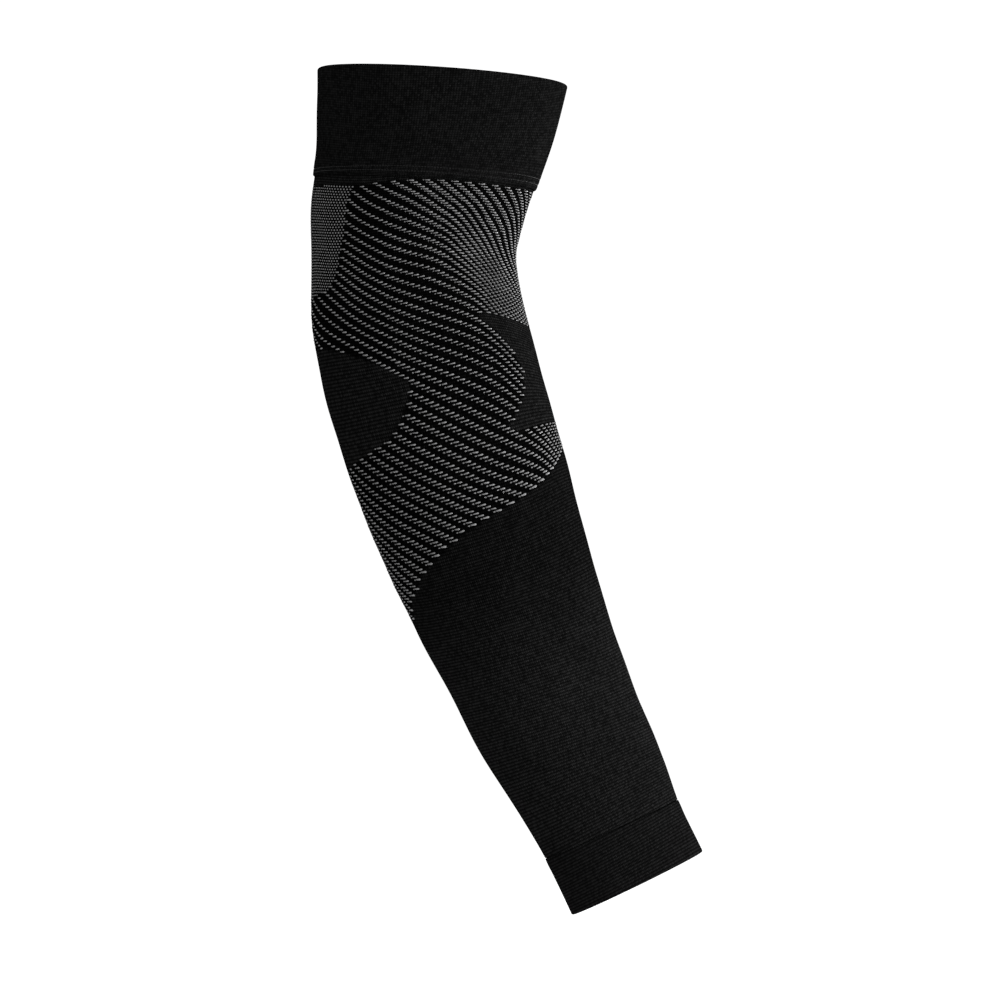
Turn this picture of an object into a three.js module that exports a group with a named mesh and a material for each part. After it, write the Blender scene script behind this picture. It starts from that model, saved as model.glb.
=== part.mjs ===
// Knitted arm compression sleeve, standing as it does on a slightly bent arm.
// Three knitted pieces end to end: a double upper cuff, the long tube, and the wrist cuff.
// The origin is the centre of the upper opening. +Z runs up the arm, +X to the crook of the elbow,
// and the point of the elbow is on -X.
import * as THREE from 'three';

// Sizes in millimetres
const DROP = 386; // centre of the upper opening to centre of the wrist opening, straight down
const DEPTH = 120; // elbow side to crook side at the upper opening
const TUBE_WALL = 1.2; // one layer of compression knit
const CUFF_STEP = 0.8; // the folded upper cuff stands this far proud of the tube
const WRIST_STEP = 0.4; // the hemmed wrist cuff stands this far proud of the tube
const STITCH_DIP = 0.35; // how far the two sewn lines pull the cuff in
const SEAM_GAP = 0.3; // left between pieces that are linked edge to edge

// Where the pieces meet, as shares of DROP
const CUFF_END = 0.133;
const WRIST_START = 0.933;

// Facets round the arm, and rows along each piece
const AROUND = 40;
const TUBE_ROWS = 36;
const INNER_CUFF_ROWS = 4;
const INNER_WRIST_ROWS = 3;
const EDGE_STEPS = 4;

// Cross-sections of the knit's outer face.
// down: share of DROP. shift, lean: the centre's offset along X and Y, and depth: the section's size
// from the elbow side to the crook side, all as shares of DEPTH. width: side to side as a share of the
// section's own depth. rise: degrees the section climbs towards the crook side. nod: degrees it turns
// down towards +Y. egg: how much fuller the crook half is than the elbow half.
const SECTIONS = [
  { down: 0.000, shift: 0.000, lean: 0.000, depth: 0.990, width: 0.79, rise: -3.9, nod: 0.0, egg: 0.00 },
  { down: 0.066, shift: -0.027, lean: 0.000, depth: 0.939, width: 0.80, rise: -3.8, nod: 0.0, egg: 0.00 },
  { down: 0.133, shift: -0.072, lean: 0.000, depth: 0.878, width: 0.82, rise: -3.6, nod: 0.0, egg: 0.00 },
  { down: 0.172, shift: -0.098, lean: 0.000, depth: 0.858, width: 0.83, rise: -1.0, nod: 0.0, egg: 0.01 },
  { down: 0.203, shift: -0.108, lean: 0.000, depth: 0.834, width: 0.84, rise: 2.0, nod: 0.0, egg: 0.02 },
  { down: 0.230, shift: -0.114, lean: 0.000, depth: 0.822, width: 0.84, rise: 5.0, nod: 0.0, egg: 0.03 },
  { down: 0.259, shift: -0.113, lean: 0.000, depth: 0.833, width: 0.83, rise: 8.0, nod: 0.0, egg: 0.04 },
  { down: 0.290, shift: -0.104, lean: 0.000, depth: 0.846, width: 0.82, rise: 10.5, nod: 0.0, egg: 0.06 },
  { down: 0.321, shift: -0.085, lean: 0.000, depth: 0.854, width: 0.81, rise: 12.0, nod: 0.0, egg: 0.07 },
  { down: 0.352, shift: -0.062, lean: 0.000, depth: 0.861, width: 0.80, rise: 13.5, nod: 0.0, egg: 0.08 },
  { down: 0.383, shift: -0.036, lean: 0.000, depth: 0.862, width: 0.80, rise: 15.0, nod: 0.0, egg: 0.08 },
  { down: 0.414, shift: -0.008, lean: 0.000, depth: 0.858, width: 0.80, rise: 16.0, nod: 0.0, egg: 0.07 },
  { down: 0.451, shift: 0.029, lean: 0.000, depth: 0.854, width: 0.80, rise: 17.0, nod: 0.2, egg: 0.06 },
  { down: 0.488, shift: 0.068, lean: -0.001, depth: 0.845, width: 0.80, rise: 18.0, nod: 0.5, egg: 0.06 },
  { down: 0.526, shift: 0.108, lean: -0.003, depth: 0.832, width: 0.80, rise: 18.0, nod: 0.9, egg: 0.05 },
  { down: 0.563, shift: 0.149, lean: -0.006, depth: 0.811, width: 0.80, rise: 18.0, nod: 1.3, egg: 0.05 },
  { down: 0.600, shift: 0.190, lean: -0.010, depth: 0.790, width: 0.80, rise: 17.0, nod: 1.7, egg: 0.05 },
  { down: 0.637, shift: 0.234, lean: -0.015, depth: 0.768, width: 0.79, rise: 15.0, nod: 2.0, egg: 0.04 },
  { down: 0.675, shift: 0.280, lean: -0.020, depth: 0.749, width: 0.78, rise: 13.0, nod: 2.3, egg: 0.04 },
  { down: 0.749, shift: 0.383, lean: -0.032, depth: 0.703, width: 0.76, rise: 12.0, nod: 2.6, egg: 0.03 },
  { down: 0.824, shift: 0.494, lean: -0.045, depth: 0.672, width: 0.72, rise: 13.0, nod: 2.9, egg: 0.02 },
  { down: 0.886, shift: 0.602, lean: -0.056, depth: 0.614, width: 0.69, rise: 19.0, nod: 3.0, egg: 0.01 },
  { down: 0.933, shift: 0.674, lean: -0.065, depth: 0.577, width: 0.67, rise: 24.0, nod: 3.0, egg: 0.00 },
  { down: 1.000, shift: 0.777, lean: -0.078, depth: 0.573, width: 0.67, rise: 26.0, nod: 3.0, egg: 0.00 },
];

// How far the cuffs' faces stand proud of the tube. along: share of the piece, from its upper edge.
// step: share of its own step. dip: share of STITCH_DIP taken off at a sewn line.
const UPPER_FACE = [
  { along: 0.00, step: 1.00, dip: 0.0 },
  { along: 0.16, step: 1.00, dip: 0.0 },
  { along: 0.33, step: 1.00, dip: 0.0 },
  { along: 0.50, step: 1.00, dip: 0.0 },
  { along: 0.67, step: 1.00, dip: 0.0 },
  { along: 0.82, step: 1.10, dip: 0.0 },
  { along: 0.885, step: 1.30, dip: 0.0 },
  { along: 0.905, step: 1.30, dip: 1.0 },
  { along: 0.925, step: 1.35, dip: 0.0 },
  { along: 0.945, step: 1.30, dip: 1.0 },
  { along: 0.965, step: 1.30, dip: 0.0 },
  { along: 1.00, step: 1.00, dip: 0.0 },
];
const WRIST_FACE = [
  { along: 0.00, step: 0.60, dip: 0.0 },
  { along: 0.12, step: 1.00, dip: 0.0 },
  { along: 0.40, step: 1.00, dip: 0.0 },
  { along: 0.70, step: 1.00, dip: 0.0 },
  { along: 1.00, step: 1.00, dip: 0.0 },
];

// A natural cubic through one column of the section table
function column(name) {
  const x = SECTIONS.map((row) => row.down);
  const y = SECTIONS.map((row) => row[name]);
  const last = x.length - 1;
  const bend = new Array(last + 1).fill(0);
  const work = new Array(last + 1).fill(0);
  for (let i = 1; i < last; i++) {
    const share = (x[i] - x[i - 1]) / (x[i + 1] - x[i - 1]);
    const pivot = share * bend[i - 1] + 2;
    const turn = (y[i + 1] - y[i]) / (x[i + 1] - x[i]) - (y[i] - y[i - 1]) / (x[i] - x[i - 1]);
    bend[i] = (share - 1) / pivot;
    work[i] = ((6 * turn) / (x[i + 1] - x[i - 1]) - share * work[i - 1]) / pivot;
  }
  for (let i = last - 1; i > 0; i--) bend[i] = bend[i] * bend[i + 1] + work[i];
  bend[0] = 0;
  return (s) => {
    let i = 0;
    while (i < last - 1 && s > x[i + 1]) i++;
    const h = x[i + 1] - x[i];
    const a = (x[i + 1] - s) / h;
    const b = 1 - a;
    return a * y[i] + b * y[i + 1] + (((a ** 3 - a) * bend[i] + (b ** 3 - b) * bend[i + 1]) * h * h) / 6;
  };
}

const shift = column('shift');
const lean = column('lean');
const depth = column('depth');
const width = column('width');
const rise = column('rise');
const nod = column('nod');
const egg = column('egg');

// A point of the knit's outer face, s down the sleeve and t round it from the crook side
function facePoint(s, t) {
  const across = (depth(s) * DEPTH) / 2;
  const side = across * width(s) * (1 + egg(s) * Math.cos(t));
  const up = THREE.MathUtils.degToRad(rise(s));
  const down = THREE.MathUtils.degToRad(nod(s));
  return new THREE.Vector3(shift(s) * DEPTH, lean(s) * DEPTH, -s * DROP)
    .addScaledVector(new THREE.Vector3(Math.cos(up), 0, Math.sin(up)), across * Math.cos(t))
    .addScaledVector(new THREE.Vector3(0, Math.cos(down), -Math.sin(down)), side * Math.sin(t));
}

// The same point moved reach mm down the face and out mm along its outward normal
const NUDGE = 1e-4;
function knitPoint(s, t, reach, out) {
  const along = facePoint(s + NUDGE, t).sub(facePoint(s - NUDGE, t)).divideScalar(2 * NUDGE);
  const at = s + reach / along.length();
  const down = facePoint(at + NUDGE, t).sub(facePoint(at - NUDGE, t));
  const round = facePoint(at, t + NUDGE).sub(facePoint(at, t - NUDGE));
  const normal = down.cross(round).normalize();
  return facePoint(at, t).addScaledVector(normal, out);
}

// The edge of a wall, rounded or square, from face to face. turn: -1 at the upper edge, 1 at the lower
function edge(s, start, from, to, turn, rounded) {
  const middle = (from + to) / 2;
  const half = (to - from) / 2;
  const radius = rounded ? Math.abs(half) : 0;
  const steps = rounded ? EDGE_STEPS : 1;
  const rows = [];
  for (let i = 0; i <= steps; i++) {
    const angle = Math.PI * (i / steps - 0.5);
    rows.push({ s, reach: start + turn * radius * (Math.cos(angle) - 1), out: middle + half * Math.sin(angle) });
  }
  return rows;
}

// A closed tubular piece: down its outer face, round the lower edge, up its inner face
function piece({ name, from, to, upperGap, lowerGap, face, innerRows, rounded, material }) {
  const place = (share) => ({
    s: from + (to - from) * share,
    reach: upperGap * (1 - share) - lowerGap * share,
  });
  const inner = -TUBE_WALL;
  const outerRows = face.slice(1, -1).map((row) => ({ ...place(row.along), out: row.out }));
  const innerFace = [];
  for (let i = innerRows - 1; i > 0; i--) innerFace.push({ ...place(i / innerRows), out: inner });
  const loop = [
    ...edge(from, upperGap, inner, face[0].out, -1, rounded),
    ...outerRows,
    ...edge(to, -lowerGap, face[face.length - 1].out, inner, 1, rounded),
    ...innerFace,
  ];
  const positions = [];
  for (const row of loop) {
    for (let k = 0; k < AROUND; k++) {
      const p = knitPoint(row.s, (k / AROUND) * 2 * Math.PI, row.reach, row.out);
      positions.push(p.x, p.y, p.z);
    }
  }
  const index = [];
  const at = (j, k) => (j % loop.length) * AROUND + (k % AROUND);
  for (let j = 0; j < loop.length; j++) {
    for (let k = 0; k < AROUND; k++) {
      index.push(at(j, k), at(j + 1, k), at(j + 1, k + 1));
      index.push(at(j, k), at(j + 1, k + 1), at(j, k + 1));
    }
  }
  const geometry = new THREE.BufferGeometry();
  geometry.setAttribute('position', new THREE.Float32BufferAttribute(positions, 3));
  geometry.setIndex(index);
  geometry.computeVertexNormals();
  const mesh = new THREE.Mesh(geometry, material);
  mesh.name = name;
  return mesh;
}

const cuffKnit = new THREE.MeshStandardMaterial({ color: 0x17171a, roughness: 0.85, metalness: 0 });
const sleeveKnit = new THREE.MeshStandardMaterial({ color: 0x1c1c1f, roughness: 0.9, metalness: 0 });
const wristKnit = new THREE.MeshStandardMaterial({ color: 0x19191c, roughness: 0.85, metalness: 0 });

const tubeFace = Array.from({ length: TUBE_ROWS + 1 }, (_, i) => ({ along: i / TUBE_ROWS, out: 0 }));
const proud = (rows, step) => rows.map((row) => ({
  along: row.along,
  out: row.step * step - row.dip * STITCH_DIP,
}));

const sleeve = new THREE.Group();
sleeve.name = 'arm_compression_sleeve';

// The double upper cuff: its top edge is the fold
sleeve.add(piece({
  name: 'upper_cuff',
  from: 0,
  to: CUFF_END,
  upperGap: 0,
  lowerGap: SEAM_GAP / 2,
  face: proud(UPPER_FACE, CUFF_STEP),
  innerRows: INNER_CUFF_ROWS,
  rounded: true,
  material: cuffKnit,
}));

// The tube, knitted in one from the upper arm over the elbow to the wrist
sleeve.add(piece({
  name: 'sleeve_tube',
  from: CUFF_END,
  to: WRIST_START,
  upperGap: SEAM_GAP / 2,
  lowerGap: SEAM_GAP / 2,
  face: tubeFace,
  innerRows: TUBE_ROWS,
  rounded: false,
  material: sleeveKnit,
}));

// The wrist cuff: its lower edge is the folded hem
sleeve.add(piece({
  name: 'wrist_cuff',
  from: WRIST_START,
  to: 1,
  upperGap: SEAM_GAP / 2,
  lowerGap: 0,
  face: proud(WRIST_FACE, WRIST_STEP),
  innerRows: INNER_WRIST_ROWS,
  rounded: true,
  material: wristKnit,
}));

export default sleeve;
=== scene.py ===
import math

import bpy
import numpy as np
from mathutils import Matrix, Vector


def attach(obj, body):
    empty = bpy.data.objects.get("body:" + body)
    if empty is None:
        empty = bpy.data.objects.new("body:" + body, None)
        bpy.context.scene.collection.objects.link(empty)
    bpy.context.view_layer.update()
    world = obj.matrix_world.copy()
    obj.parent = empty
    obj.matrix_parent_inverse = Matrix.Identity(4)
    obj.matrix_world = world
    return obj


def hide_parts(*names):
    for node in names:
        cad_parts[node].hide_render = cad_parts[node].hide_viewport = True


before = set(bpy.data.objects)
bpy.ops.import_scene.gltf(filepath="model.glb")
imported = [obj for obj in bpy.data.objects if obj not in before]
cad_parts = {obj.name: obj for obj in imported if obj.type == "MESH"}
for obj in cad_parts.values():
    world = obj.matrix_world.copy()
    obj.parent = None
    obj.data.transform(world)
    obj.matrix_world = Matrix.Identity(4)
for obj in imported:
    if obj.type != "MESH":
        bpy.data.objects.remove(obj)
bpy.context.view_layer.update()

# Knitted arm compression sleeve. Metres, +Z up the arm, +X to the crook of the elbow.
# s runs down the sleeve from 0 to 1, t round it from the crook side; the side seen first is t < 0.

DROP, DEPTH = 0.386, 0.120
WALL = 0.0012
CUFF_STEP, WRIST_STEP, SEAM_GAP = 0.0008, 0.0004, 0.0003
CUFF_END, WRIST_START = 0.133, 0.933

# down, shift, lean, depth, width, rise, nod, egg: the part's own table of sections
SECTIONS = np.array([
    (0.000, 0.000, 0.000, 0.990, 0.79, -3.9, 0.0, 0.00),
    (0.066, -0.027, 0.000, 0.939, 0.80, -3.8, 0.0, 0.00),
    (0.133, -0.072, 0.000, 0.878, 0.82, -3.6, 0.0, 0.00),
    (0.172, -0.098, 0.000, 0.858, 0.83, -1.0, 0.0, 0.01),
    (0.203, -0.108, 0.000, 0.834, 0.84, 2.0, 0.0, 0.02),
    (0.230, -0.114, 0.000, 0.822, 0.84, 5.0, 0.0, 0.03),
    (0.259, -0.113, 0.000, 0.833, 0.83, 8.0, 0.0, 0.04),
    (0.290, -0.104, 0.000, 0.846, 0.82, 10.5, 0.0, 0.06),
    (0.321, -0.085, 0.000, 0.854, 0.81, 12.0, 0.0, 0.07),
    (0.352, -0.062, 0.000, 0.861, 0.80, 13.5, 0.0, 0.08),
    (0.383, -0.036, 0.000, 0.862, 0.80, 15.0, 0.0, 0.08),
    (0.414, -0.008, 0.000, 0.858, 0.80, 16.0, 0.0, 0.07),
    (0.451, 0.029, 0.000, 0.854, 0.80, 17.0, 0.2, 0.06),
    (0.488, 0.068, -0.001, 0.845, 0.80, 18.0, 0.5, 0.06),
    (0.526, 0.108, -0.003, 0.832, 0.80, 18.0, 0.9, 0.05),
    (0.563, 0.149, -0.006, 0.811, 0.80, 18.0, 1.3, 0.05),
    (0.600, 0.190, -0.010, 0.790, 0.80, 17.0, 1.7, 0.05),
    (0.637, 0.234, -0.015, 0.768, 0.79, 15.0, 2.0, 0.04),
    (0.675, 0.280, -0.020, 0.749, 0.78, 13.0, 2.3, 0.04),
    (0.749, 0.383, -0.032, 0.703, 0.76, 12.0, 2.6, 0.03),
    (0.824, 0.494, -0.045, 0.672, 0.72, 13.0, 2.9, 0.02),
    (0.886, 0.602, -0.056, 0.614, 0.69, 19.0, 3.0, 0.01),
    (0.933, 0.674, -0.065, 0.577, 0.67, 24.0, 3.0, 0.00),
    (1.000, 0.777, -0.078, 0.573, 0.67, 26.0, 3.0, 0.00),
])
DOWN, VALUES = SECTIONS[:, 0], SECTIONS[:, 1:]


def natural_bends(x, y):
    """Second derivatives of the natural cubic through each column."""
    n = len(x)
    a, b = np.eye(n), np.zeros_like(y)
    for i in range(1, n - 1):
        h0, h1 = x[i] - x[i - 1], x[i + 1] - x[i]
        a[i, i - 1:i + 2] = h0 / 6, (h0 + h1) / 3, h1 / 6
        b[i] = (y[i + 1] - y[i]) / h1 - (y[i] - y[i - 1]) / h0
    return np.linalg.solve(a, b)


BENDS = natural_bends(DOWN, VALUES)


def face(s, t):
    """A point of the knit's outer face."""
    s, t = np.broadcast_arrays(np.asarray(s, float), np.asarray(t, float))
    i = np.clip(np.searchsorted(DOWN, s, side="right") - 1, 0, len(DOWN) - 2)
    h = (DOWN[i + 1] - DOWN[i])[..., None]
    a = (DOWN[i + 1] - s)[..., None] / h
    b = 1 - a
    v = a * VALUES[i] + b * VALUES[i + 1] + ((a**3 - a) * BENDS[i] + (b**3 - b) * BENDS[i + 1]) * h * h / 6
    shift, lean, depth, width, rise, nod, egg = np.moveaxis(v, -1, 0)
    across = depth * DEPTH / 2
    side = across * width * (1 + egg * np.cos(t))
    up, dn = np.radians(rise), np.radians(nod)
    return np.stack([
        shift * DEPTH + across * np.cos(t) * np.cos(up),
        lean * DEPTH + side * np.sin(t) * np.cos(dn),
        -s * DROP + across * np.cos(t) * np.sin(up) - side * np.sin(t) * np.sin(dn)], axis=-1)


def unit(v):
    return v / np.linalg.norm(v, axis=-1, keepdims=True)


def slopes(s, t, e=1e-4):
    down = (face(s + e, t) - face(s - e, t)) / (2 * e)
    round_ = (face(s, t + e) - face(s, t - e)) / (2 * e)
    return down, round_, unit(np.cross(down, round_))


def knit_point(s, t, reach, out):
    """The same point moved reach down the face and out along its normal."""
    down, _, _ = slopes(s, t)
    at = s + reach / np.linalg.norm(down, axis=-1)
    _, _, normal = slopes(at, t)
    return face(at, t) + normal * np.asarray(out)[..., None]


# ---------------------------------------------------------------- the knit's own coordinates

# Chart of the drawn knit on the near side: a row for each place down the sleeve, a column for each angle.
# Whole values of LINES are its slanting lines, whole values of COURSES its courses of knitting.
CHART_ANGLES = np.radians([-180, -160, -138, -115, -92, -70, -50, -32, -16, 0])
CHART_DOWN = np.array([0.13, 0.16, 0.195, 0.23, 0.265, 0.3, 0.34, 0.38, 0.42, 0.465,
                       0.51, 0.56, 0.61, 0.66, 0.75, 0.85, 1])
LINES = np.array([
    (-3.58, -6.13, -8.77, -11.08, -13.04, -15.88, -18.35, -20.25, -21.95, -23.81),
    (-0.88, -3.42, -6.16, -8.55, -10.35, -13.09, -16.07, -18.29, -20.27, -22.39),
    (2.16, -0.16, -3.17, -5.66, -7.40, -9.79, -13.73, -16.31, -18.58, -20.92),
    (4.99, 3.02, 0.43, -2.52, -4.51, -6.40, -10.84, -14.66, -17.02, -19.64),
    (7.60, 5.75, 3.67, 0.69, -1.74, -3.57, -7.23, -12.64, -15.40, -18.27),
    (9.99, 8.14, 6.28, 3.54, 0.89, -1.13, -3.86, -9.37, -13.23, -16.38),
    (12.61, 10.91, 9.18, 6.56, 3.77, 1.60, -0.83, -5.30, -9.63, -13.39),
    (15.17, 13.51, 11.64, 9.11, 6.39, 4.08, 1.83, -1.81, -5.87, -9.80),
    (17.62, 15.88, 13.90, 11.34, 8.63, 6.27, 4.13, 1.10, -2.51, -6.13),
    (20.24, 18.36, 16.25, 13.62, 10.91, 8.47, 6.45, 3.88, 0.87, -2.18),
    (22.77, 20.80, 18.55, 16.02, 13.30, 10.89, 9.16, 7.08, 4.34, 1.70),
    (25.39, 23.37, 21.12, 18.69, 16.16, 14.06, 12.37, 10.45, 8.23, 5.90),
    (27.79, 25.77, 23.54, 21.24, 19.02, 17.08, 15.32, 13.53, 11.72, 9.78),
    (30.15, 28.18, 26.06, 23.92, 21.87, 19.98, 18.22, 16.54, 14.94, 13.27),
    (34.61, 32.81, 30.87, 28.88, 26.94, 25.10, 23.40, 21.83, 20.41, 18.96),
    (39.89, 38.20, 36.35, 34.44, 32.55, 30.73, 29.08, 27.58, 26.23, 24.88),
    (48.09, 46.45, 44.66, 42.80, 40.94, 39.17, 37.56, 36.10, 34.79, 33.48),
])
COURSES = np.array([
    (-49.37, -49.90, -50.90, -50.77, -48.58, -48.03, -48.05, -48.17, -48.18, -48.37),
    (-38.96, -39.61, -40.51, -40.10, -37.74, -37.42, -38.43, -39.17, -39.79, -40.32),
    (-26.76, -27.35, -28.48, -28.14, -26.22, -25.32, -27.85, -29.22, -30.47, -31.11),
    (-14.66, -14.95, -16.47, -16.43, -15.12, -14.02, -17.16, -19.95, -21.12, -22.05),
    (-3.16, -3.33, -4.64, -5.10, -4.55, -3.93, -5.93, -10.52, -11.65, -12.86),
    (7.32, 7.16, 6.36, 5.42, 5.52, 5.80, 5.05, 0.41, -1.93, -3.23),
    (18.18, 17.95, 17.32, 16.49, 16.31, 16.43, 16.21, 13.26, 10.19, 8.35),
    (28.25, 27.87, 27.32, 26.70, 26.19, 25.99, 25.83, 24.31, 21.93, 20.16),
    (37.97, 37.39, 36.87, 36.16, 35.32, 35.04, 35.03, 34.20, 32.86, 31.76),
    (48.83, 48.37, 47.61, 46.56, 45.75, 45.14, 45.02, 45.02, 44.79, 44.55),
    (59.81, 59.17, 58.12, 57.14, 56.31, 55.71, 56.04, 56.94, 57.27, 57.40),
    (72.24, 71.47, 70.24, 69.36, 68.87, 68.79, 69.71, 70.79, 71.40, 71.79),
    (84.74, 84.13, 82.92, 82.41, 82.30, 82.79, 83.76, 84.84, 85.66, 86.23),
    (97.23, 96.69, 96.04, 95.92, 96.30, 97.14, 98.23, 99.34, 100.16, 100.80),
    (120.99, 120.92, 121.00, 121.51, 122.36, 123.47, 124.67, 125.76, 126.58, 127.14),
    (150.02, 150.21, 150.58, 151.23, 152.08, 153.04, 154.00, 154.74, 155.24, 155.59),
    (196.41, 196.66, 196.92, 197.14, 197.35, 197.55, 197.70, 197.81, 197.78, 197.76),
])


def weights(x, nodes, bends, order=0):
    """How much of each node's value, or its slope, goes into the natural cubic at x."""
    i = np.clip(np.searchsorted(nodes, x, side="right") - 1, 0, len(nodes) - 2)
    h = nodes[i + 1] - nodes[i]
    a = (nodes[i + 1] - x) / h
    b = 1 - a
    w = np.zeros((len(x), len(nodes)))
    r = np.arange(len(x))
    if order == 0:
        w[r, i] += a
        w[r, i + 1] += b
        return w + ((a**3 - a) * h * h / 6)[:, None] * bends[i] + ((b**3 - b) * h * h / 6)[:, None] * bends[i + 1]
    w[r, i] -= 1 / h
    w[r, i + 1] += 1 / h
    return w + (-(3 * a * a - 1) * h / 6)[:, None] * bends[i] + ((3 * b * b - 1) * h / 6)[:, None] * bends[i + 1]


ANGLE_BENDS = natural_bends(CHART_ANGLES, np.eye(len(CHART_ANGLES)))
DOWN_BENDS = natural_bends(CHART_DOWN, np.eye(len(CHART_DOWN)))


def chart(table, t, s):
    """Value and slopes over t and s; above the chart it goes straight on."""
    shape = np.shape(t)
    t, s = np.ravel(t), np.ravel(s)
    sc = np.clip(s, CHART_DOWN[0], CHART_DOWN[-1])
    wt, ws = weights(t, CHART_ANGLES, ANGLE_BENDS), weights(sc, CHART_DOWN, DOWN_BENDS)
    dt, ds = weights(t, CHART_ANGLES, ANGLE_BENDS, 1), weights(sc, CHART_DOWN, DOWN_BENDS, 1)
    value = ((wt @ table.T) * ws).sum(1)
    over_t = ((dt @ table.T) * ws).sum(1)
    over_s = ((wt @ table.T) * ds).sum(1)
    value = value + over_s * (s - sc)
    return value.reshape(shape), over_t.reshape(shape), over_s.reshape(shape)


def crossings(f, g, t, s, m, n):
    """Where f is m and g is n, by Newton's way from t, s."""
    t, s = t.copy(), s.copy()
    for _ in range(10):
        (l, lt, ls), (c, ct, cs) = f(t, s), g(t, s)
        det = lt * cs - ls * ct
        det = np.where(np.abs(det) < 1e-6, 1e-6, det)
        t -= np.clip(((l - m) * cs - (c - n) * ls) / det, -0.1, 0.1)
        s -= np.clip(((c - n) * lt - (l - m) * ct) / det, -0.01, 0.01)
        t, s = np.clip(t, -math.pi, 0.0), np.clip(s, 0.12, 0.70)
    (l, _, _), (c, ct, cs) = f(t, s), g(t, s)
    good = (np.abs(l - m) < 0.01) & (np.abs(c - n) < 0.01)
    t, s, m, n = t[good], s[good], m[good], n[good]
    # one of each: the same crossing is reached from many starts
    for moved in (0.0, 0.5):
        where = np.stack([m, n, np.floor(t / 0.01 + moved), np.floor(s / 0.002 + moved)], axis=1)
        _, first = np.unique(where, axis=0, return_index=True)
        t, s, m, n = t[first], s[first], m[first], n[first]
    return t, s, m


# Wales all the way round, laid evenly along an oval of the sleeve's usual width to depth
WALES, WIDTH_TO_DEPTH = 258, 0.8
OVAL_ANGLES = np.linspace(-math.pi, math.pi, 2001)
oval_steps = np.hypot(np.diff(np.cos(OVAL_ANGLES)), WIDTH_TO_DEPTH * np.diff(np.sin(OVAL_ANGLES)))
OVAL_LENGTHS = np.concatenate([[0], np.cumsum(oval_steps)])


def wale(t):
    """Wale count for an angle, nought at the crook."""
    return WALES * np.interp(t, OVAL_ANGLES, OVAL_LENGTHS / OVAL_LENGTHS[-1] - 0.5)


def course(s, t):
    """Course count anywhere on the sleeve; the far side is the mirror of the near one."""
    return chart(COURSES, -np.abs(t), s)[0]


# ---------------------------------------------------------------- zones of the knit, s and degrees from the crook

DOTS = [(0.120, 180), (0.120, 126), (0.1465, 127), (0.162, 129.5), (0.18, 130.8), (0.2005, 132.2), (0.216, 133.8),
        (0.233, 136), (0.245, 139.3), (0.255, 145.8), (0.257, 155.2), (0.257, 180)]
ELBOW = [(0.3125, 180), (0.3125, 171.5), (0.318, 148.5), (0.3255, 136.2), (0.3355, 126.3), (0.3475, 116.7),
         (0.3565, 111.3), (0.366, 106), (0.375, 101.5), (0.385, 102.0), (0.397, 105.5), (0.406, 108.5),
         (0.4165, 112.5), (0.4255, 117.5), (0.434, 124), (0.437, 131.8), (0.441, 138.2), (0.4435, 146.5),
         (0.4465, 156), (0.452, 169.5), (0.452, 180)]
CROOK = [(0.3385, 0), (0.3385, 11.8), (0.334, 23), (0.3295, 28.2), (0.325, 33.8), (0.322, 39.5), (0.3175, 44.5),
         (0.313, 54.5), (0.3172, 55.5), (0.325, 52.5), (0.3335, 48.5), (0.3425, 45.8), (0.3515, 43), (0.3605, 40.8),
         (0.3705, 38.2), (0.382, 35.8), (0.397, 33.8), (0.407, 34.8), (0.418, 37), (0.4285, 40), (0.4415, 45.8),
         (0.4505, 51), (0.4605, 56.2), (0.464, 56.8), (0.467, 51), (0.467, 39.2), (0.4675, 24.2), (0.469, 0)]
LOWER_END = np.array([(0, 0.501), (6.5, 0.502), (18.5, 0.5115), (24.8, 0.5165), (31.5, 0.5215), (35.8, 0.527),
                      (43.2, 0.5325), (50.3, 0.5375), (58.2, 0.5425), (68, 0.5475), (76.5, 0.5505), (84.2, 0.554),
                      (91.8, 0.561), (98, 0.564), (105.2, 0.568), (112, 0.574), (118.7, 0.582), (124.8, 0.5865),
                      (130.5, 0.5935), (137, 0.6005), (142, 0.6105), (151.5, 0.617), (155.8, 0.626),
                      (165.5, 0.648), (180, 0.655)])


# down the sleeve, the drawn zone starts here below the cuff's edge
UPPER_START = np.array([(0, 0.002), (84, 0.002), (98, 0.0032), (107, 0.0057), (118, 0.0095), (125, 0.0122),
                        (180, 0.0122)])
ELBOW_LINE = 179.9  # the zones end at 180, so an angle on the elbow line is taken just inside it


def within(zone, s, deg):
    """True inside a closed zone, by counting the sides crossed on the way to it."""
    inside, deg = np.zeros(np.shape(s), bool), np.minimum(deg, ELBOW_LINE)
    x0, y0 = zone[-1]
    for x1, y1 in zone:
        cut = (y0 > deg) != (y1 > deg)
        with np.errstate(divide="ignore", invalid="ignore"):
            inside ^= cut & (s < (x1 - x0) * (deg - y0) / (y1 - y0 if y1 != y0 else 1e-9) + x0)
        x0, y0 = x1, y1
    return inside


def patterned(s, deg):
    """True where grey stitches are drawn."""
    top = CUFF_END + np.interp(deg, *UPPER_START.T)
    return (s > top) & (s < np.interp(deg, *LOWER_END.T)) & ~within(ELBOW, s, deg) & ~within(CROOK, s, deg)


# ---------------------------------------------------------------- mesh helpers

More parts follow.
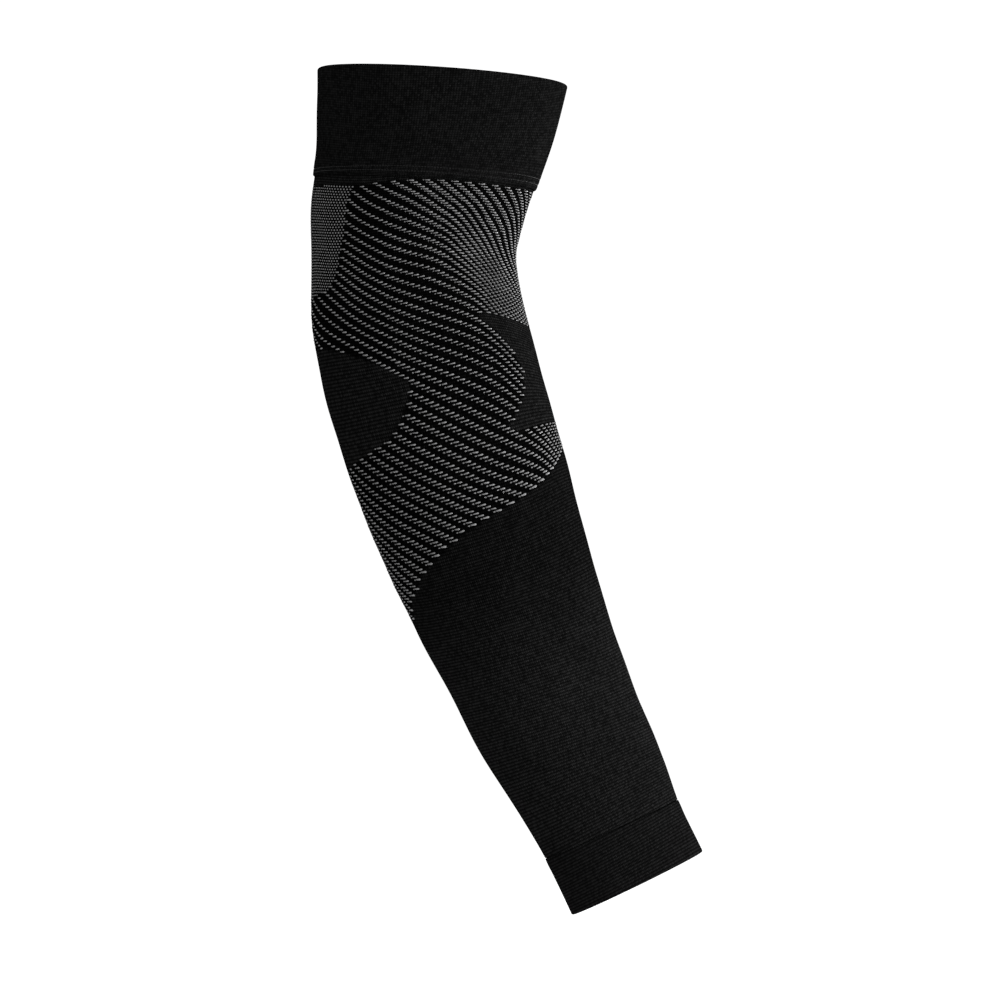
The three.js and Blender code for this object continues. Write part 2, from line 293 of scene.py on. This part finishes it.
def mesh_object(name, points, quads, tone, uv=None):
    """A smooth mesh of quads. tone: a value for each point; uv: wale and course for each face corner."""
    mesh = bpy.data.meshes.new(name)
    points = np.asarray(points, np.float32).reshape(-1, 3)
    quads = np.asarray(quads, np.int32).reshape(-1, 4)
    mesh.vertices.add(len(points))
    mesh.vertices.foreach_set("co", points.ravel())
    mesh.loops.add(len(quads) * 4)
    mesh.loops.foreach_set("vertex_index", quads.ravel())
    mesh.polygons.add(len(quads))
    mesh.polygons.foreach_set("loop_start", np.arange(0, len(quads) * 4, 4, dtype=np.int32))
    mesh.polygons.foreach_set("loop_total", np.full(len(quads), 4, np.int32))
    mesh.update(calc_edges=True)
    mesh.validate()
    mesh.polygons.foreach_set("use_smooth", np.ones(len(mesh.polygons), bool))
    if uv is not None:
        layer = mesh.uv_layers.new(name="knit")
        layer.data.foreach_set("uv", np.asarray(uv, np.float32).ravel())
    values = np.ones((len(points), 4), np.float32)
    values[:, :3] = np.asarray(tone, np.float32).reshape(-1, 1)
    layer = mesh.color_attributes.new(name="tone", type="FLOAT_COLOR", domain="POINT")
    layer.data.foreach_set("color", values.ravel())
    piece = bpy.data.objects.new(name, mesh)
    bpy.context.scene.collection.objects.link(piece)
    return piece


def smooth_between(low, high, x):
    x = np.clip((x - low) / (high - low), 0, 1)
    return x * x * (3 - 2 * x)


def unevenness(s, t):
    """Slow, slight waves of a knit pulled over an arm."""
    return 0.00010 * (np.sin(9 * t + 31 * s) * np.sin(47 * s + 1.3) + 0.7 * np.sin(5 * t - 58 * s + 0.7)
                      + 0.5 * np.sin(14 * t + 83 * s + 2.1))


AROUND = 288
FACE_LENGTH = 0.40  # metres down the knit for s from 0 to 1


def wall(name, rows, inner, zone_tone, outside, inside):
    """A closed tubular wall from rows of s, reach and out (a number or a function of t).

    The last inner rows are on its inside. outside and inside are the materials.
    """
    around = AROUND
    t = np.linspace(-math.pi, math.pi, around, endpoint=False)
    s = np.array([r[0] for r in rows])
    reach = np.array([r[1] for r in rows])
    out = np.array([r[2](t) if callable(r[2]) else np.full(around, r[2]) for r in rows])
    grid_s, grid_t = np.repeat(s[:, None], around, 1), np.repeat(t[None, :], len(rows), 0)
    points = knit_point(grid_s, grid_t, np.repeat(reach[:, None], around, 1), out + unevenness(grid_s, grid_t))
    n = len(rows)
    j, k = np.meshgrid(np.arange(n), np.arange(around), indexing="ij")
    j1, k1 = (j + 1) % n, (k + 1) % around
    quads = np.stack([j * around + k, j1 * around + k, j1 * around + k1, j * around + k1], axis=-1)
    # the knit's coordinates at the face corners, so that the seam of t doesn't wrap
    t_next = np.where(k1 == 0, math.pi, t[k1])
    drop = s + reach / FACE_LENGTH

    def corner(row, angle):
        return np.stack([wale(angle), course(drop[row], angle)], axis=-1)
    uv = np.stack([corner(j, t[k]), corner(j1, t[k]), corner(j1, t_next), corner(j, t_next)], axis=-2)
    piece = mesh_object(name, points, quads, zone_tone(grid_s, grid_t), uv)
    for mat in (outside, inside):
        piece.data.materials.append(mat)
    piece.data.polygons.foreach_set("material_index", (j >= n - inner - 1).ravel().astype(np.int32))
    return piece


def edge(s, start, low, high, turn, rounded):
    """Rows over a wall's edge from out low to out high. turn: -1 at its upper end, 1 at its lower one."""
    middle, half = (low + high) / 2, (high - low) / 2
    radius, steps = (abs(half), 8) if rounded else (0.0, 2)
    rows = []
    for i in range(steps + 1):
        angle = math.pi * (i / steps - 0.5)
        rows.append((s, start + turn * radius * (math.cos(angle) - 1), middle + half * math.sin(angle)))
    return rows


# ---------------------------------------------------------------- materials

def material(name):
    mat = bpy.data.materials.new(name)
    mat.use_nodes = True
    tree = mat.node_tree
    return mat, tree, tree.nodes["Principled BSDF"]


class Nodes:
    """Short hands for a node tree."""

    def __init__(self, tree):
        self.tree = tree

    def add(self, kind, **values):
        node = self.tree.nodes.new(kind)
        for key, value in values.items():
            setattr(node, key, value)
        return node

    def link(self, a, b):
        self.tree.links.new(a, b)

    def math(self, operation, a, b=None, c=None, clamp=False):
        node = self.add("ShaderNodeMath", operation=operation, use_clamp=clamp)
        for socket, value in zip(node.inputs, (a, b, c)):
            if value is None:
                continue
            if isinstance(value, (int, float)):
                socket.default_value = value
            else:
                self.link(value, socket)
        return node.outputs[0]

    def noise(self, scale, detail):
        """Noise laid on the object itself, scale to the metre."""
        coords = self.add("ShaderNodeTexCoord")
        node = self.add("ShaderNodeTexNoise")
        node.inputs["Scale"].default_value = scale
        node.inputs["Detail"].default_value = detail
        self.link(coords.outputs["Object"], node.inputs["Vector"])
        return node.outputs[0]

    def tone(self):
        return self.add("ShaderNodeVertexColor", layer_name="tone").outputs[0]

    def bump(self, shader, height, strength, distance):
        node = self.add("ShaderNodeBump")
        node.inputs["Strength"].default_value = strength
        node.inputs["Distance"].default_value = distance
        self.link(height, node.inputs["Height"])
        self.link(node.outputs[0], shader.inputs["Normal"])

    def mix(self, factor, a, b):
        node = self.add("ShaderNodeMix", data_type="RGBA")
        self.link(factor, node.inputs[0])
        for socket, value in ((node.inputs[6], a), (node.inputs[7], b)):
            if isinstance(value, (tuple, list)):
                socket.default_value = (*value, 1)
            else:
                self.link(value, socket)
        return node.outputs[2]


LOOP_SLANT = 0.7  # courses that a loop's leg climbs in one wale


def knit_material(name, ground, plain, rows=0.75, wales=0.5, uneven=0.65):
    """Fine plain knit: loops counted by the mesh's own wales and courses.

    The colour runs from ground to plain by the mesh's tone. rows and wales say how much painted shade darkens it
    between courses and between wales, in the knit's hollows; uneven says how much it varies at random from loop to
    loop.
    """
    mat, tree, shader = material(name)
    n = Nodes(tree)
    uv = n.add("ShaderNodeUVMap", uv_map="knit")
    split = n.add("ShaderNodeSeparateXYZ")
    n.link(uv.outputs[0], split.inputs[0])
    u, v = split.outputs[0], split.outputs[1]
    # each wale is a row of V shaped loops
    leg = n.math("ABSOLUTE", n.math("SUBTRACT", n.math("FRACT", u), 0.5))
    lean = n.math("MULTIPLY_ADD", leg, LOOP_SLANT, v)
    loop = n.math("MULTIPLY_ADD", n.math("SINE", n.math("MULTIPLY", lean, 2 * math.pi)), 0.5, 0.5)
    groove = n.math("MULTIPLY_ADD", n.math("COSINE", n.math("MULTIPLY", u, 2 * math.pi)), -0.5, 0.5)
    groove = n.math("POWER", groove, 0.6)
    fuzz, slow = n.noise(2600, 2), n.noise(60, 4)
    relief = n.math("MULTIPLY_ADD", fuzz, 0.35, n.math("MULTIPLY", loop, groove))
    # each loop's yarn lies a little differently and shows lighter or darker
    cell = n.add("ShaderNodeCombineXYZ")
    n.link(n.math("FLOOR", u), cell.inputs[0])
    n.link(n.math("FLOOR", n.math("ADD", lean, 0.25)), cell.inputs[1])
    grain = n.add("ShaderNodeTexWhiteNoise", noise_dimensions="2D")
    n.link(cell.outputs[0], grain.inputs[0])
    base = n.mix(n.tone(), ground, plain)
    # painted shade: the colour darkens between courses and between wales, where the loops' hollows lie, down to a
    # twentieth of the ground's colour; grain and slow noise vary it at random
    shade = n.math("MULTIPLY_ADD", n.math("POWER", loop, 1.4), rows, 0.93 - rows)
    shade = n.math("MULTIPLY", shade, n.math("MULTIPLY_ADD", groove, wales, 1 - wales))
    shade = n.math("MULTIPLY", shade, n.math("MULTIPLY_ADD", grain.outputs[0], uneven, 0.78 - uneven / 2))
    shade = n.math("MULTIPLY", shade, n.math("MULTIPLY_ADD", slow, 0.5, 0.75), clamp=True)
    n.link(n.mix(shade, tuple(c * 0.05 for c in ground), base), shader.inputs["Base Color"])
    n.link(n.math("MULTIPLY_ADD", fuzz, 0.15, 0.6), shader.inputs["Roughness"])
    shader.inputs["Specular IOR Level"].default_value = 0.0
    n.bump(shader, relief, strength=0.7, distance=0.0002)
    return mat


def yarn_material(name, dim, bright, specular):
    """Yarn or thread of the raised stitches; the mesh's tone runs from dim to bright along each one."""
    mat, tree, shader = material(name)
    n = Nodes(tree)
    fibre = n.noise(3400, 2)
    lit = n.math("MULTIPLY_ADD", fibre, 0.7, 0.45, clamp=True)
    base = n.mix(lit, tuple(c * 0.45 for c in dim), n.mix(n.tone(), dim, bright))
    n.link(base, shader.inputs["Base Color"])
    n.link(n.math("MULTIPLY_ADD", fibre, 0.2, 0.55), shader.inputs["Roughness"])
    shader.inputs["Specular IOR Level"].default_value = specular
    n.bump(shader, fibre, strength=0.4, distance=0.00008)
    return mat


GROUND = (0.0022, 0.0022, 0.0022)  # black knit between the drawn stitches
PLAIN = (0.0145, 0.0145, 0.0146)  # plain black knit where it shows lightest
cuff_mat = knit_material("cuff_knit_black", GROUND, PLAIN, rows=0.5, wales=0.6, uneven=0.7)
tube_mat = knit_material("sleeve_knit_black", GROUND, PLAIN)
wrist_mat = knit_material("wrist_knit_black", GROUND, PLAIN, uneven=0.55)
# inside, the black knit is coloured lighter than outside, painted light standing in for the light that reaches into
# the sleeve, and the grey yarn lies loose behind the drawn zones
lining_painted_light_mat = knit_material("lining_knit_black_painted_light", (0.026, 0.026, 0.0265), (0.034, 0.034, 0.0345),
                           rows=0.6, wales=0.7)
inside_painted_light_mat = knit_material("sleeve_inside_melange_painted_light", (0.140, 0.140, 0.142), (0.045, 0.045, 0.046),
                           rows=0.8, wales=0.3)
yarn_mat = yarn_material("grey_yarn", (0.020, 0.020, 0.0202), (0.160, 0.160, 0.161), 0.05)
thread_mat = yarn_material("black_thread", (0.003, 0.003, 0.003), (0.014, 0.014, 0.014), 0.02)


# ---------------------------------------------------------------- the three knitted walls

CUFF_INNER, TUBE_INNER, WRIST_INNER = 13, 59, 8  # rows on the inside of each wall
SEWN_LINES = {"upper": 1.0, "lower": 0.52}  # their height, as a share of the upper one's
SEWN_HALF_WIDTH, SEWN_DIP = 0.00045, 0.00028


def fold_line(t):
    """How far above the cuff's edge its upper sewn line runs, in s."""
    return 0.00124 * np.interp(np.degrees(np.abs(t)), (0, 35, 60, 90, 110, 135, 180),
                               (12, 12, 10.5, 10, 9, 6.8, 6.2))


def cuff_rows():
    """The folded cuff: thicker over the fold's seam allowance, pressed in along both sewn lines."""
    def out(share):
        step = CUFF_STEP * float(np.interp(share, (0, 0.67, 0.82, 0.885, 0.965, 1), (1, 1, 1.1, 1.3, 1.3, 1)))

        def at(t):
            above = CUFF_END * (1 - share)
            sunk = sum(np.exp(-((above - line * fold_line(t)) * DROP / SEWN_HALF_WIDTH) ** 2)
                       for line in SEWN_LINES.values())
            return step - SEWN_DIP * sunk
        return at
    face_rows = [(CUFF_END * share, -SEAM_GAP / 2 * share, out(share))
                 for share in (*np.linspace(0.02, 0.86, 46), *np.linspace(0.867, 0.99, 36))]
    inner_shares = [i / (CUFF_INNER + 1) for i in range(CUFF_INNER, 0, -1)]
    inner = [(CUFF_END * share, -SEAM_GAP / 2 * share, -WALL) for share in inner_shares]
    return (edge(0.0, 0.0, -WALL, CUFF_STEP, -1, True) + face_rows
            + edge(CUFF_END, -SEAM_GAP / 2, CUFF_STEP, -WALL, 1, True) + inner)


def tube_rows():
    span = WRIST_START - CUFF_END
    place = lambda a: (CUFF_END + span * a, SEAM_GAP / 2 * (1 - 2 * a))
    outer = [(*place(a), 0.0) for a in np.linspace(0, 1, 261)[1:-1]]
    inner = [(*place(a), -WALL) for a in np.linspace(1, 0, TUBE_INNER + 2)[1:-1]]
    return (edge(CUFF_END, SEAM_GAP / 2, -WALL, 0.0, -1, False) + outer
            + edge(WRIST_START, -SEAM_GAP / 2, 0.0, -WALL, 1, False) + inner)


def wrist_rows():
    span = 1 - WRIST_START
    place = lambda a: (WRIST_START + span * a, SEAM_GAP / 2 * (1 - a))
    outer = [(*place(a), WRIST_STEP * float(np.interp(a, (0, 0.12, 1), (0.6, 1, 1))))
             for a in np.linspace(0, 1, 32)[1:-1]]
    inner = [(*place(a), -WALL) for a in np.linspace(1, 0, WRIST_INNER + 2)[1:-1]]
    return (edge(WRIST_START, SEAM_GAP / 2, -WALL, WRIST_STEP * 0.6, -1, True) + outer
            + edge(1.0, 0.0, WRIST_STEP, -WALL, 1, True) + inner)


def tube_pattern_and_painted_light_tone(s, t):
    # painted light: outside the drawn zones the knit's tone changes down the sleeve and is much lighter on the
    # lower forearm towards the wrist, where the light falls stronger; the drawn zones keep the ground's colour
    plain = np.interp(s, (0.47, 0.52, 0.62, 0.76, 0.93), (0.60, 0.36, 0.38, 0.80, 0.76))
    return np.where(patterned(s, np.degrees(np.abs(t))), 0.0, plain)


def even_tone(value):
    return lambda s, t: np.full(s.shape, value)


upper_cuff = wall("upper_cuff_knit", cuff_rows(), CUFF_INNER, even_tone(0.33), cuff_mat, lining_painted_light_mat)
sleeve_tube = wall("sleeve_tube_knit", tube_rows(), TUBE_INNER, tube_pattern_and_painted_light_tone, tube_mat, inside_painted_light_mat)
# painted light: the wrist cuff's tone is lighter than the upper cuff's, as the lower sleeve is painted lighter
# where the light falls stronger
wrist_cuff = wall("wrist_cuff_knit", wrist_rows(), WRIST_INNER, even_tone(0.66), wrist_mat, lining_painted_light_mat)


# ---------------------------------------------------------------- drawn stitches

# place along the stitch, its half width there, its share of the bright yarn and its sway to the side
LONG = np.array([(-1, 0.15, 0.30, 0.22), (-0.82, 0.66, 0.45, 0.18), (-0.45, 0.84, 0.62, 0.06),
                 (-0.08, 0.80, 0.72, 0), (0.35, 1.0, 0.95, -0.02), (0.78, 0.92, 1.0, -0.08),
                 (1, 0.15, 0.80, -0.12)])
SHORT = np.array([(-1, 0.2, 0.6, 0), (-0.45, 0.95, 0.95, 0), (0.45, 1, 1, 0), (1, 0.2, 0.7, 0)])
ARC = np.radians(np.linspace(0, 180, 5))  # the half round over a stitch
STITCH_FOOT = 0.00012  # how far a stitch's edges lie under the knit's face


def stitches(name, s, t, over_t, over_s, length, width, height, bright, mat, seed,
             far=False, tilt=0.0, shape=LONG, lift=0.0):
    """Small raised stitches, one joined mesh. far: the mirror of the near side.

    over_t and over_s are the course count's slopes at each stitch, which lies along its course.
    """
    rng = np.random.default_rng(seed)
    hand = -1.0 if far else 1.0
    down, round_, normal = slopes(s, hand * t)
    along = unit(hand * over_s[:, None] * round_ - over_t[:, None] * down)
    along *= np.sign(over_s)[:, None]
    centre = face(s, hand * t) + normal * (unevenness(s, hand * t) + lift)[:, None]
    side = hand * np.cross(normal, along)
    length = length * rng.uniform(0.92, 1.08, s.shape)
    width = width * rng.uniform(0.9, 1.1, s.shape)
    bright = bright * rng.uniform(0.80, 1.08, s.shape)
    tilt = tilt + rng.normal(0, 0.05, s.shape)
    along, side = along + side * tilt[:, None], side - along * tilt[:, None]
    n, across = len(shape), len(ARC)
    x = shape[:, :1] * np.ones(across)
    y = shape[:, 1:2] * np.cos(ARC) + shape[:, 3:]
    z = shape[:, 1:2] * np.sin(ARC)
    points = (centre[:, None, None, :]
              + along[:, None, None, :] * (x * (length / 2)[:, None, None])[..., None]
              + side[:, None, None, :] * (y * (width / 2)[:, None, None])[..., None]
              + normal[:, None, None, :] * (z[None] * height - STITCH_FOOT)[..., None])
    tone = np.clip(shape[None, :, 2, None] * bright[:, None, None] * np.ones(across), 0, 1)
    a, b = np.meshgrid(np.arange(n - 1), np.arange(across - 1), indexing="ij")
    corner = a * across + b
    base = np.stack([corner, corner + across, corner + across + 1, corner + 1], axis=-1).reshape(-1, 4)
    if far:
        base = base[:, ::-1]
    quads = base[None] + (np.arange(len(s)) * across * n)[:, None, None]
    piece = mesh_object(name, points, quads, tone)
    piece.data.materials.append(mat)
    return piece


def lines(t, s):
    return chart(LINES, t, s)


def courses(t, s):
    return chart(COURSES, t, s)


CELL = 1.7  # wales from one dot to the next


def columns(t, s):
    """Cells of the dotted knit, counted round from the elbow line.

    Each course is moved on by half a cell at the elbow line and by a little less beside it.
    """
    e = 1e-4
    c, ct, cs = courses(t, s)
    moved = lambda t: 0.5 - 0.05 * smooth_between(-math.pi, -2.80, t)
    slope = (wale(t + e) - wale(t - e)) / (2 * e) / CELL - c * (moved(t + e) - moved(t - e)) / (2 * e)
    return (wale(t) + WALES / 2) / CELL - moved(t) * c, slope - moved(t) * ct, -moved(t) * cs


def placed(f, t_low, t_high, s_low, s_high, nt, ns):
    """Where whole values of f meet whole courses, from a grid of starts; t_low and t_high in degrees."""
    t, s = np.meshgrid(np.radians(np.linspace(t_low, t_high, nt)), np.linspace(s_low, s_high, ns))
    t, s = t.ravel(), s.ravel()
    return crossings(f, courses, t, s, np.round(f(t, s)[0]), np.round(courses(t, s)[0]))


DASH_LENGTH, CHECK_LENGTH = 0.0027, 0.0012
OPEN_SPACING, DENSE_SPACING = 0.0052, 0.0036  # metres between lines along a course
LAST_LINE = 0.0055  # s above the zone's lower end where a line's last dashes lie

# lines of dashes; where the lines crowd at the crook their dashes shorten to checks
t, s, m = placed(lines, -179.5, -0.5, 0.134, 0.66, 380, 420)
deg = np.degrees(-t)
on = patterned(s, deg) & ~within(DOTS, s, deg) & (deg > 0.8) & (deg < 179.2)
t, s, m, deg = t[on], s[on], m[on], deg[on]
(_, lt, ls), (_, ct, cs) = lines(t, s), courses(t, s)
down, round_, _ = slopes(s, t)
way = cs[:, None] * round_ - ct[:, None] * down
spacing = np.linalg.norm(way, axis=-1) / np.maximum(np.abs(lt * cs - ls * ct), 1e-6)
grown = smooth_between(2, 8, m)
length = np.maximum(np.minimum(DASH_LENGTH + 0.0003 * grown, 0.60 * spacing), CHECK_LENGTH)
last = s > np.interp(deg, *LOWER_END.T) - LAST_LINE
tilt = np.radians(1.5 + 5 * smooth_between(0, -6, m) * smooth_between(100, 75, deg)
                  + 10 * smooth_between(50, 15, deg) * smooth_between(0.42, 0.46, s))
dense = smooth_between(OPEN_SPACING, DENSE_SPACING, spacing)
dash = dict(s=s, t=t, over_t=ct, over_s=cs, length=length * np.where(last, 1.1, 1), tilt=tilt,
            width=(0.00072 + 0.00014 * grown + 0.0002 * dense) * np.where(last, 1.25, 1),
            bright=(0.92 - 0.53 * dense) * np.where(last, 1.15, 1))

# the yarn shows once more, as a small dim loop, before each dash of an open line
shown = np.maximum(smooth_between(112, 86, deg), smooth_between(0.37, 0.44, s))
open_line = (spacing > 2.3 * length) & (shown > 0.25)
back = (0.70 + 0.04 * grown) * length / np.linalg.norm(way, axis=-1) * np.sign(cs)
ts, tt = (s + back * ct)[open_line], (t - back * cs)[open_line]
tilt, grown, shown = tilt[open_line], grown[open_line], shown[open_line]
on = patterned(ts, np.degrees(-tt)) & (tt < -0.01) & (tt > -3.13)
ts, tt, tilt, grown, shown = ts[on], tt[on], tilt[on], grown[on], shown[on]
_, ct, cs = courses(tt, ts)
tail = dict(s=ts, t=tt, over_t=ct, over_s=cs, length=0.0009 + 0.0004 * grown,
            width=0.0006 + 0.00016 * grown, tilt=tilt, bright=0.30 + 0.35 * shown)

# dots of the elbow side
t, s, _ = placed(columns, -180, -124, 0.13, 0.26, 240, 240)
deg = np.degrees(-t)
on = within(DOTS, s, deg) & patterned(s, deg)
t, s, deg = t[on], s[on], deg[on]
_, ct, cs = courses(t, s)
dot = dict(s=s, t=t, over_t=ct, over_s=cs)
beside = deg < 179.7  # those on the elbow line itself are laid once, with the near side

HIGH, LOW = 0.00034, 0.00026
drawn = []
for far in (False, True):
    word = "far" if far else "near"
    drawn.append(stitches(f"dash_stitches_{word}", **dash, height=HIGH, mat=yarn_mat, seed=3 + far, far=far))
    drawn.append(stitches(f"dash_tails_{word}", **tail, height=LOW, mat=yarn_mat, seed=5 + far, far=far,
                          shape=SHORT))
    laid = {key: values[beside] for key, values in dot.items()} if far else dot
    drawn.append(stitches(f"dot_stitches_{word}", **laid, length=0.0012, width=0.0008, height=LOW,
                          bright=0.76, mat=yarn_mat, seed=7 + far, far=far, shape=SHORT))

# two rows of sewing thread hold the cuff's fold
sewn = []
for word, share in SEWN_LINES.items():
    t = np.linspace(-math.pi, math.pi, 232, endpoint=False)
    s = CUFF_END - share * fold_line(t)
    sewn.append(stitches(f"cuff_thread_{word}", s=s, t=t, over_t=0 * s, over_s=1 + 0 * s, length=0.0011,
                         width=0.0005, height=0.00030, bright=0.9, mat=thread_mat, seed=11, lift=0.00085))

for piece in (upper_cuff, sleeve_tube, wrist_cuff, *drawn, *sewn):
    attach(piece, "root")
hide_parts("upper_cuff")
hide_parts("sleeve_tube")
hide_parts("wrist_cuff")


# ---------------------------------------------------------------- floor, light and camera

def disc(name, radius, z, sides=96):
    ring = [(radius * math.cos(2 * math.pi * i / sides), radius * math.sin(2 * math.pi * i / sides), z)
            for i in range(sides)]
    mesh = bpy.data.meshes.new(name)
    mesh.from_pydata(ring, [], [tuple(range(sides))])
    piece = bpy.data.objects.new(name, mesh)
    bpy.context.scene.collection.objects.link(piece)
    return piece


floor = disc("floor", 9.0, -0.56)
floor_mat, _, floor_shader = material("pale_floor")
floor_shader.inputs["Base Color"].default_value = (0.96, 0.96, 0.96, 1)
floor_shader.inputs["Roughness"].default_value = 0.9
floor_shader.inputs["Specular IOR Level"].default_value = 0.1
floor.data.materials.append(floor_mat)

world = bpy.data.worlds.new("studio")
bpy.context.scene.world = world
world.use_nodes = True
world.node_tree.nodes["Background"].inputs[0].default_value = (1, 1, 1, 1)
world.node_tree.nodes["Background"].inputs[1].default_value = 1.08


def area_light(name, place, target, size, power):
    data = bpy.data.lights.new(name, "AREA")
    data.shape = "DISK"
    data.size = size
    data.energy = power
    lamp = bpy.data.objects.new(name, data)
    bpy.context.scene.collection.objects.link(lamp)
    lamp.location = place
    lamp.rotation_euler = (Vector(target) - Vector(place)).to_track_quat("-Z", "Y").to_euler()


area_light("key", (1.22, -0.62, -0.55), (0.05, 0, -0.24), 0.8, 66)
area_light("rim", (1.7, 1.2, -0.6), (0.05, 0, -0.30), 0.9, 180)
area_light("fill", (-1.7, 0.9, -0.2), (0.0, 0, -0.2), 1.2, 7)
area_light("top", (-0.2, -0.6, 1.9), (0.0, 0, -0.2), 1.2, 24)

SENSOR, FIELD_OF_VIEW = 36, 14.03
scene = bpy.context.scene
scene.view_settings.view_transform = "Standard"
camera_data = bpy.data.cameras.new("camera")
camera_data.sensor_width = SENSOR
camera_data.lens = SENSOR / (2 * math.tan(math.radians(FIELD_OF_VIEW) / 2))
camera_data.clip_start, camera_data.clip_end = 0.05, 60
camera = bpy.data.objects.new("camera", camera_data)
scene.collection.objects.link(camera)
camera.location = (0.0276, -1.950, -0.203)
camera.rotation_euler = (math.radians(90), 0, 0)
scene.camera = camera

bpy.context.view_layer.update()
